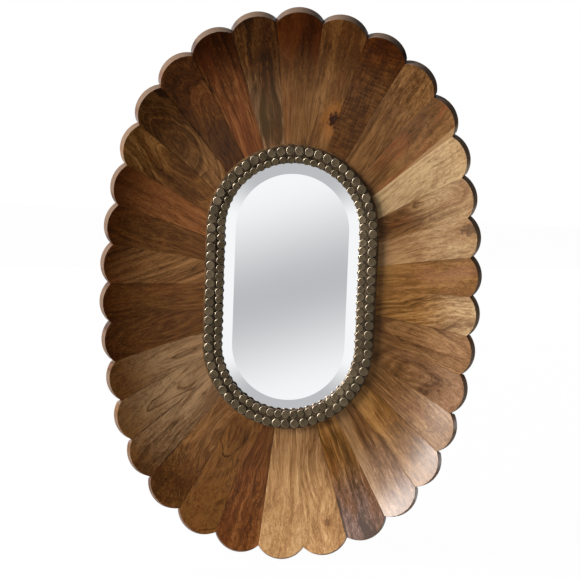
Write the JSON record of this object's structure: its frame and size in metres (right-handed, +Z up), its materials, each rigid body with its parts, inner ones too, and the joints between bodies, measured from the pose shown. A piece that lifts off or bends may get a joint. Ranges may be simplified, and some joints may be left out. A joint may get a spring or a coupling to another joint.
{
  "type": "wall mirror",
  "caption": "Oval wall mirror: a bevelled glass in a nail-studded, metal-clad moulding, ringed by joined wood petals that sweep forward to a scalloped rim.",
  "frame": {"origin": "centre of the back panel's rear face", "axes": "-Y out of the mirror towards the viewer, +Z up the wall, +X to the viewer's right"},
  "size_m": [0.6192, 0.0676, 0.9102],
  "materials": {
    "wood_brown": "satin oiled hardwood, mid brown",
    "wood_tan": "satin oiled hardwood, light tan",
    "wood_dark": "satin oiled hardwood, dark reddish brown",
    "plywood": "plain plywood",
    "moulding_wood": "sawn hardwood",
    "aged_brass": "dark aged brass, satin",
    "mirror": "silvered glass with a ground bevel",
    "fibreboard": "brown hardboard",
    "zinc_steel": "zinc-plated steel",
    "rubber": "matt black rubber"
  },
  "bodies": {
    "mirror": {"petal_01": "wood_dark", "petal_02": "wood_tan", "petal_03": "wood_dark", "petal_04": "wood_brown", "petal_05": "wood_brown", "petal_06": "wood_tan", "petal_07": "wood_brown", "petal_08": "wood_tan", "petal_09": "wood_tan", "petal_10": "wood_tan", "petal_11": "wood_brown", "petal_12": "wood_brown", "petal_13": "wood_brown", "petal_14": "wood_tan", "petal_15": "wood_tan", "petal_16": "wood_dark", "petal_17": "wood_tan", "petal_18": "wood_tan", "petal_19": "wood_dark", "petal_20": "wood_tan", "petal_21": "wood_dark", "petal_22": "wood_dark", "petal_23": "wood_brown", "petal_24": "wood_brown", "petal_25": "wood_dark", "petal_26": "wood_dark", "petal_27": "wood_tan", "petal_28": "wood_dark", "petal_29": "wood_brown", "petal_30": "wood_dark", "petal_31": "wood_dark", "petal_32": "wood_dark", "petal_33": "wood_brown", "petal_34": "wood_tan", "backer_board": "plywood", "moulding_core": "moulding_wood", "moulding_cladding": "aged_brass", "outer_nails": "aged_brass", "inner_nails": "aged_brass", "mirror_glass": "mirror", "backing_board": "fibreboard", "back_panel": "fibreboard", "panel_screws": "zinc_steel", "petal_screws": "zinc_steel", "left_strap": "zinc_steel", "right_strap": "zinc_steel", "hanger_screws": "zinc_steel", "wall_bumpers": "rubber"},
    "left_hanging_ring": {"left_ring": "zinc_steel"},
    "right_hanging_ring": {"right_ring": "zinc_steel"}
  },
  "joints": [
    {"name": "left_ring_pivot", "type": "hinge", "parent": "mirror", "child": "left_hanging_ring", "pos_m": [-0.13596, 0.00308, 0.15], "axis": [1, 0, 0], "range_deg": [0, 180]},
    {"name": "right_ring_pivot", "type": "hinge", "parent": "mirror", "child": "right_hanging_ring", "pos_m": [0.13596, 0.00308, 0.15], "axis": [1, 0, 0], "range_deg": [0, 180]}
  ]
}
